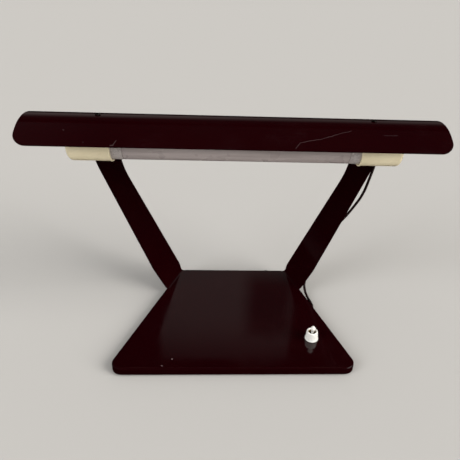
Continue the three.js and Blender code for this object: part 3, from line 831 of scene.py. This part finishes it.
def tube_cap(side, name):
    """A drawn cap: rolled edge, two crimped grooves and the contact nipple."""
    wall = 0.6 * MM
    inside = CAP_R - wall
    outside = [(inside, CAP_START), (CAP_R - 0.15 * MM, CAP_START), (CAP_R, CAP_START + 0.4 * MM)]
    for groove in (CAP_START + 2.2 * MM, CAP_SHOULDER - 5 * MM):
        for step in range(9):
            share = step / 8
            dip = 0.25 * MM * math.sin(math.pi * share) ** 2
            outside.append((CAP_R - dip, groove + 1.2 * MM * share))
    for i in range(7):
        a = math.pi / 2 * i / 6
        outside.append((CAP_R - 0.8 * MM * (1 - math.cos(a)), CAP_SHOULDER - 0.8 * MM * (1 - math.sin(a))))
    nipple = [(4 * MM, CAP_SHOULDER), (3.6 * MM, CAP_END - 0.3 * MM), (3 * MM, CAP_END), (0, CAP_END)]
    profile = [(0, CAP_SHOULDER - 1 * MM), (inside, CAP_SHOULDER - 1 * MM)] + outside + nipple
    made = turned("tube_cap_" + name, profile, "cap", 96, along_x(side))
    soften(made, 0.15 * MM, 2, 40)
    return seat(made, "cap_metal", "lamp_cap_" + name)


# ---------------------------------------------------------------- holders
def holder(side, name):
    """A deep moulded cup with a flared lip, a round end and a boss for its screw."""
    profile = [(0, BORE_END), (BORE_R, BORE_END), (BORE_R, HOLDER_START + 1.2 * MM)]
    profile += [(BORE_R + 0.6 * MM, HOLDER_START), (HOLDER_LIP_R - 0.4 * MM, HOLDER_START)]
    profile += [(HOLDER_LIP_R, HOLDER_START + 0.4 * MM), (HOLDER_LIP_R, HOLDER_START + 1.5 * MM)]
    profile += [(HOLDER_R + 0.2 * MM, HOLDER_START + 2.4 * MM), (HOLDER_R, HOLDER_START + 3.2 * MM)]
    for i in range(11):
        a = math.pi / 2 * i / 10
        radius = HOLDER_R - HOLDER_EDGE_R * (1 - math.cos(a))
        profile.append((radius, HOLDER_END - HOLDER_EDGE_R * (1 - math.sin(a))))
    profile.append((0, HOLDER_END))
    made = turned("cup_holder_" + name, profile, "cream", 96, along_x(side))
    x = side * SCREW_X
    low = (x - BOSS_HALF_X, HOOD_Y - BOSS_HALF_Y, BOSS_BOTTOM)
    high = (x + BOSS_HALF_X, HOOD_Y + BOSS_HALF_Y, BOSS_TOP)
    boss = block("boss", low, high, "cream")
    soften(boss, 1.2 * MM, 4)
    applied(boss)
    carve(made, "UNION", boss)
    above = 0.27  # higher than the boss
    outline = [(0, INSERT_BOTTOM), (INSERT_R, INSERT_BOTTOM), (INSERT_R, above), (0, above)]
    pocket = turned("pocket", outline, "cream", 32)
    pocket.data.transform(at(x, HOOD_Y))
    tools = [pocket]
    holes = [(LINK_HOLE_X, LINK_HOLE_R)]
    if side > 0:
        holes.append((LEAD_HOLE_X, LEAD_HOLE_R))
    for hole_x, radius in holes:
        drill = turned("drill", [(0, 4 * MM), (radius, 4 * MM), (radius, 24 * MM), (0, 24 * MM)], "cream", 32)
        backward = Matrix.Rotation(-math.pi / 2, 4, "X")
        drill.data.transform(at(side * hole_x, HOOD_Y, TUBE_Z + 2 * MM) @ backward)
        tools.append(drill)
    carve(made, "DIFFERENCE", *tools)
    made.data.set_sharp_from_angle(angle=math.radians(35))
    return seat(made, "cream_plastic", "holder_" + name)


def dome_screw(side, name):
    """A slotted dome-headed screw, down through the hood and the tab."""
    low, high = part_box("holder_screw_" + name)
    head = HOOD_HIGH.z + 0.3 * MM
    rise = high.z - head - 0.3 * MM
    radius = (high.x - low.x) / 2
    profile = [(0, low.z), (1.2 * MM, low.z), (1.7 * MM, low.z + 0.8 * MM), (1.7 * MM, head), (radius, head)]
    for i in range(10):
        a = math.pi / 2 * i / 10
        profile.append((radius * math.cos(a) ** 0.9, head + 0.3 * MM + rise * math.sin(a)))
    profile.append((0, high.z))
    made = turned("dome_screw_" + name, profile, "screw", 48, at(side * SCREW_X, HOOD_Y))
    half = 0.45 * MM
    low_corner = (-5 * MM, -half, high.z - 0.8 * MM)
    high_corner = (5 * MM, half, high.z + 1 * MM)
    slot = block("slot", low_corner, high_corner, "steel")
    slot.data.transform(at(side * SCREW_X, HOOD_Y) @ Matrix.Rotation(math.radians(35 * side), 4, "Z"))
    carve(made, "DIFFERENCE", slot)
    made.data.set_sharp_from_angle(angle=math.radians(35))
    return seat(made, "steel", "holder_screw_" + name)


# ---------------------------------------------------------------- switch
def switch_nut():
    """The flared nut round the lever."""
    bottom = BASE_TOP + 0.3 * MM
    profile = [
        (5.3, 0), (7.9, 0), (8.0, 0.15), (8.0, 0.9), (7.75, 1.3), (7.55, 2.6), (7.2, 5.4), (6.85, 8.2),
        (6.6, 10.4), (6.45, 10.9), (6.1, 11.3), (5.6, 11.4), (5.0, 11.35), (4.75, 11.1), (4.7, 10.8),
        (4.7, 9.3), (5.3, 9.2),
    ]
    profile = [(r * MM, bottom + z * MM) for r, z in profile]
    made = turned("switch_cone_nut", profile, "white", 96, at(SWITCH_X, SWITCH_Y))
    soften(made, 0.12 * MM, 2, 40)
    return seat(made, "white_plastic", "switch_nut")


def lever():
    """The bulb-ended lever with its thin tail below the pivot."""
    profile = [
        (0, -9.6), (0.9, -9.6), (1.15, -9.2), (1.2, -8.8), (1.2, -3.4), (1.7, -2.6), (2, -2), (2, 2),
        (1.75, 3.2), (1.5, 4), (1.45, 7), (1.6, 9.4), (2.0, 10.4), (2.45, 11.4), (2.78, 12.5),
        (2.9, 13.5), (2.85, 14.5), (2.5, 15.5), (1.9, 16.25), (1.0, 16.7), (0, 16.8),
    ]
    profile = [(r * MM, z * MM) for r, z in profile]
    place = at(SWITCH_X, SWITCH_Y, LEVER_PIVOT_Z) @ Matrix.Rotation(LEVER_TILT, 4, "X")
    made = turned("lever_knob", profile, "white", 64, place)
    return seat(made, "white_plastic", "toggle_lever", body="lever")


def bushing():
    """The threaded brass neck that the nut screws on to."""
    low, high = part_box("switch_bushing")
    outer, bore, pitch = 5 * MM, 3.9 * MM, 0.75 * MM
    profile = [(bore, low.z), (outer - 0.3 * MM, low.z), (outer, low.z + 0.3 * MM)]
    z = low.z + 4.5 * MM
    while z + pitch < high.z - 0.4 * MM:
        profile += [(outer, z), (outer - 0.35 * MM, z + pitch / 2)]
        z += pitch
    profile += [(outer, high.z - 0.4 * MM), (outer - 0.3 * MM, high.z), (bore, high.z)]
    made = turned("threaded_neck", profile, "brass", 64, at(SWITCH_X, SWITCH_Y))
    made.data.set_sharp_from_angle(angle=math.radians(25))
    return seat(made, "brass", "switch_bushing")


# ---------------------------------------------------------------- base fittings
def foot(name):
    """A rubber foot, wider towards the tray."""
    low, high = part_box(name)
    centre = (low + high) / 2
    profile = [(0, 0), (5.2, 0), (5.8, 0.25), (6.1, 0.8), (6.4, 1.6)]
    profile += [(7.0, 5.5), (7.3, 8.6), (7.1, 9.1), (0, 9.2)]
    profile = [(r * MM, low.z + z * MM) for r, z in profile]
    made = turned("rubber_" + name, profile, "rubber", 48, at(centre.x, centre.y))
    soften(made, 0.2 * MM, 2, 25)
    return seat(made, "rubber", name)


def gland():
    """The grommet in the rear rim, where the supply cable would come in."""
    low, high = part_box("mains_gland")
    centre = (low + high) / 2
    profile = [(1.7, 0), (2.5, 0), (2.6, 0.2), (2.6, 4.5), (3.2, 4.5), (3.4, 4.8), (3.4, 5.5), (3.2, 6.0)]
    profile += [(2.9, 7.0), (2.6, 8.0), (2.4, 8.3), (1.9, 8.3), (1.7, 8.1)]
    profile = [(r * MM, z * MM) for r, z in profile]
    backward = Matrix.Rotation(-math.pi / 2, 4, "X")
    made = turned("cable_gland", profile, "rubber", 48, at(centre.x, low.y, centre.z) @ backward)
    soften(made, 0.12 * MM, 2, 30)
    return seat(made, "rubber", "mains_gland")


# ---------------------------------------------------------------- wires
def spline_through(points):
    """Points on a centripetal Catmull-Rom curve through the route."""
    per_span = 6
    points = [Vector(p) for p in points]
    first = points[0] * 2 - points[1]
    last = points[-1] * 2 - points[-2]
    padded = [first, *points, last]
    path = []
    for p0, p1, p2, p3 in zip(padded, padded[1:], padded[2:], padded[3:]):
        knots = [0.0]
        for a, b in ((p0, p1), (p1, p2), (p2, p3)):
            knots.append(knots[-1] + max((b - a).length, 1e-6) ** 0.5)
        t0, t1, t2, t3 = knots
        for i in range(per_span):
            t = t1 + (t2 - t1) * i / per_span
            a1 = p0.lerp(p1, (t - t0) / (t1 - t0))
            a2 = p1.lerp(p2, (t - t1) / (t2 - t1))
            a3 = p2.lerp(p3, (t - t2) / (t3 - t2))
            b1 = a1.lerp(a2, (t - t0) / (t2 - t0))
            b2 = a2.lerp(a3, (t - t1) / (t3 - t1))
            path.append(b1.lerp(b2, (t - t1) / (t2 - t1)))
    path.append(points[-1])
    return path


def wire(name, path, radius, finish):
    """A round wire along a path of points."""
    data = bpy.data.curves.new(name, "CURVE")
    data.dimensions = "3D"
    spline = data.splines.new("POLY")
    spline.points.add(len(path) - 1)
    for point, place in zip(spline.points, path):
        point.co = (*place, 1)
    spline.use_smooth = True
    data.bevel_depth = radius
    data.bevel_resolution = 5
    data.use_fill_caps = True
    data.materials.append(FINISH[finish])
    return placed(name, data)


def cable(name, route, radius, node):
    """A lead or wire that runs from one place on the lamp to another."""
    made = seat(wire(name, spline_through(route), radius, "lead"), "lead_skin", node)


def contact_spring(side, name):
    """The conical spring behind a contact disc, drawn as a fixed coil at rest."""
    turns, steps = 4, 32
    path = []
    for i in range(turns * steps + 1):
        share = i / (turns * steps)
        a = share * turns * 2 * math.pi
        coil = SPRING_SMALL_R + (SPRING_LARGE_R - SPRING_SMALL_R) * share
        x = SPRING_START + (SPRING_END - SPRING_START) * share
        path.append((side * x, HOOD_Y + coil * math.cos(a), TUBE_Z + coil * math.sin(a)))
    coiled = wire("coil", path, SPRING_WIRE_R, "steel")
    bpy.context.view_layer.update()
    data = bpy.data.meshes.new_from_object(coiled)
    bpy.data.objects.remove(coiled)
    made = seat(placed("cone_spring_" + name, data), "steel", "contact_spring_" + name)
    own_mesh(made)


# ---------------------------------------------------------------- CAD nodes that stay
KEPT = {
    "tungsten": ["filament"],
    "brass": [
        "contact_disc_right", "contact_disc_left", "screw_insert_right", "screw_insert_left", "switch_rocker",
        "switch_fulcrum", "switch_terminal_front", "switch_terminal_rear", "block_sleeve_1", "block_sleeve_2",
    ],
    "steel": [
        "lever_pin", "terminal_screw_front", "terminal_screw_rear",
        "block_screw_1", "block_screw_2", "block_screw_3", "block_screw_4",
    ],
    "black": ["switch_shell", "switch_base"],
    "cream": ["terminal_block"],
}


def finish_kept_nodes():
    """Gives the CAD nodes that stay in the picture their finishes, and rounds the black and cream ones."""
    for finish, names in KEPT.items():
        for name in names:
            node = frame["nodes"][name]
            node.data.materials.clear()
            node.data.materials.append(FINISH[finish])
            weld = node.modifiers.new("weld", "WELD")
            weld.merge_threshold = 1e-6
            if finish == "black" or name == "terminal_block":
                soften(node, 0.2 * MM, 2, 40)


# ---------------------------------------------------------------- stage
FLOOR_COLOR = (0.36, 0.35, 0.335)
FLOOR_PAINTED_REFLECTION = (0.004, 0.002, 0.001)  # the floor as the polish shows it: a painted dark reflection, not the floor's own colour
FLOOR_REACH = 40
CARD_Y = 0.126  # a lit wall close behind the lamp, which only the reflections show
CARD_HALF = 0.5
CARD_TOP = 0.45
WINDOW = (0.80, -0.35, 0.48)  # the way to the window
BACKDROP_LIGHT = 0.72  # what the camera sees past the floor
ROOM_LIGHT = 0.70  # the soft light all round


def staged_plane(name, corners, shader):
    """One flat face that belongs to the stage."""
    built = bmesh.new()
    built.faces.new([built.verts.new(corner) for corner in corners])
    made = meshed(name, built, shader.material)
    return made


def floor():
    """A wide pale floor, which the lamp's polish shows in a painted dark colour instead of its own."""
    shader = Shader("pale_floor", FLOOR_COLOR, 0.8)
    shader.set("Specular IOR Level", 0.0)
    # Reflection rays see a painted dark colour in place of the pale floor.
    mirrored = shader.node("LightPath").outputs["Is Glossy Ray"]
    shader.wire(shader.mix(mirrored, FLOOR_COLOR, FLOOR_PAINTED_REFLECTION), "Base Color")
    corners = [(x * FLOOR_REACH, y * FLOOR_REACH, 0) for x, y in ((-1, -1), (1, -1), (1, 1), (-1, 1))]
    staged_plane("floor", corners, shader)


def reflection_card():
    """What the polish mirrors: a pale wall behind the lamp, lit below the hood and again above it."""
    s = Shader("reflection_card", (0, 0, 0), 1.0)
    parts = s.node("SeparateXYZ", {"Vector": s.place})
    x, z = parts.outputs["X"], parts.outputs["Z"]
    # The band under the hood, between the arms, with a darker patch at the right of the middle.
    below = s.times(s.ramp(z, 0.220, 0.231, 1.0, 0.0), s.ramp(z, 0.12, 0.225, 0.215, 0.125))
    sides = s.times(s.ramp(x, -0.130, -0.112), s.ramp(x, 0.092, 0.104, 1.0, 0.0))
    across = s.times(s.ramp(x, 0.005, 0.04), s.ramp(x, 0.08, 0.12, 1.0, 0.0))
    upright = s.times(s.ramp(z, 0.02, 0.07), s.ramp(z, 0.15, 0.19, 1.0, 0.0))
    patch = s.math("SUBTRACT", 1.0, s.times(s.times(across, upright), 0.8))
    low = s.times(s.times(below, sides), patch)
    # The band over the hood, weaker upwards and to the right.
    above = s.times(s.ramp(z, 0.265, 0.285), s.ramp(z, 0.29, 0.345, 0.16, 0.012))
    above = s.times(above, s.ramp(x, -0.15, 0.12, 1.0, 0.7))
    # Only rays that meet the card nearly straight on see it.
    faced = s.ramp(s.node("LayerWeight", {"Blend": 0.5}).outputs["Facing"], 0.26, 0.36, 1.0, 0.0)
    s.wire(s.times(s.math("ADD", low, above), faced), "Emission Strength")
    s.set("Emission Color", (1.0, 0.85, 0.81, 1))
    s.set("Specular IOR Level", 0.0)
    low, high, half = 0.001, CARD_TOP, CARD_HALF
    corners = [(-half, CARD_Y, low), (half, CARD_Y, low), (half, CARD_Y, high), (-half, CARD_Y, high)]
    card = staged_plane("reflection_card", corners, s)
    card.visible_camera = False
    card.visible_diffuse = False
    card.visible_transmission = False
    card.visible_shadow = False


def world():
    """A pale backdrop and soft light all round; the polish mirrors a dark room with a window."""
    backdrop = bpy.data.worlds.new("room")
    bpy.context.scene.world = backdrop
    backdrop.use_nodes = True
    tree = backdrop.node_tree
    node = tree.nodes.new
    link = tree.links.new
    direction = node("ShaderNodeTexCoord").outputs["Generated"]

    def ramp(value, low, high, start, end):
        made = node("ShaderNodeMapRange")
        made.interpolation_type = "SMOOTHSTEP"
        link(value, made.inputs["Value"])
        for key, number in (("From Min", low), ("From Max", high), ("To Min", start), ("To Max", end)):
            made.inputs[key].default_value = number
        return made.outputs["Result"]

    def either(share, when_not, when):
        chosen = node("ShaderNodeMix")
        chosen.data_type = "FLOAT"
        for index, value in ((0, share), (2, when_not), (3, when)):
            if isinstance(value, bpy.types.NodeSocket):
                link(value, chosen.inputs[index])
            else:
                chosen.inputs[index].default_value = value
        return chosen.outputs[0]

    parts = node("ShaderNodeSeparateXYZ")
    link(direction, parts.inputs[0])
    left_wall = ramp(parts.outputs["X"], -0.2, -0.5, 0.012, 0.05)
    towards = node("ShaderNodeVectorMath")
    towards.operation = "DOT_PRODUCT"
    link(direction, towards.inputs[0])
    towards.inputs[1].default_value = WINDOW
    window = ramp(towards.outputs["Value"], 0.86, 0.96, 0.0, 1.2)
    room = node("ShaderNodeMath")
    link(left_wall, room.inputs[0])
    link(window, room.inputs[1])
    rays = node("ShaderNodeLightPath")
    mirrored = either(rays.outputs["Is Glossy Ray"], ROOM_LIGHT, room.outputs[0])
    seen = either(rays.outputs["Is Camera Ray"], mirrored, BACKDROP_LIGHT)
    background = tree.nodes["Background"]
    background.inputs["Color"].default_value = (1.0, 0.985, 0.965, 1)
    link(seen, background.inputs["Strength"])


def sun(name, towards, strength, spread, color):
    """Soft light from one side of the room."""
    data = bpy.data.lights.new(name, "SUN")
    data.energy = strength
    data.angle = math.radians(spread)
    data.color = color
    made = placed(name, data)
    made.visible_glossy = False
    aim = Vector(towards).to_track_quat("Z", "Y")
    made.matrix_world = Matrix.Translation(Vector(towards)) @ aim.to_matrix().to_4x4()


def lights():
    """The window at the right and the paler side of the room at the left."""
    sun("window_right", WINDOW, 4.6, 40, (1.0, 0.98, 0.95))
    sun("room_left", (-0.75, -0.45, 0.45), 2.1, 36, (0.97, 0.98, 1.0))


# ---------------------------------------------------------------- the scene
add_camera()
cable("lead_cable", LEAD_ROUTE, LEAD_R, "lamp_lead")
cable("link_cable", LINK_ROUTE, LINK_R, "link_wire")
cable("supply_cable", SUPPLY_ROUTE, LEAD_R, "supply_wire")
stand()
hood()
tube()
for side, name in ((1, "right"), (-1, "left")):
    tube_cap(side, name)
    holder(side, name)
    contact_spring(side, name)
    dome_screw(side, name)
switch_nut()
lever()
bushing()
for name in ("foot_front_left", "foot_front_right", "foot_rear_left", "foot_rear_right"):
    foot(name)
gland()
finish_kept_nodes()
floor()
reflection_card()
world()
lights()
bpy.context.scene.view_settings.view_transform = "Standard"
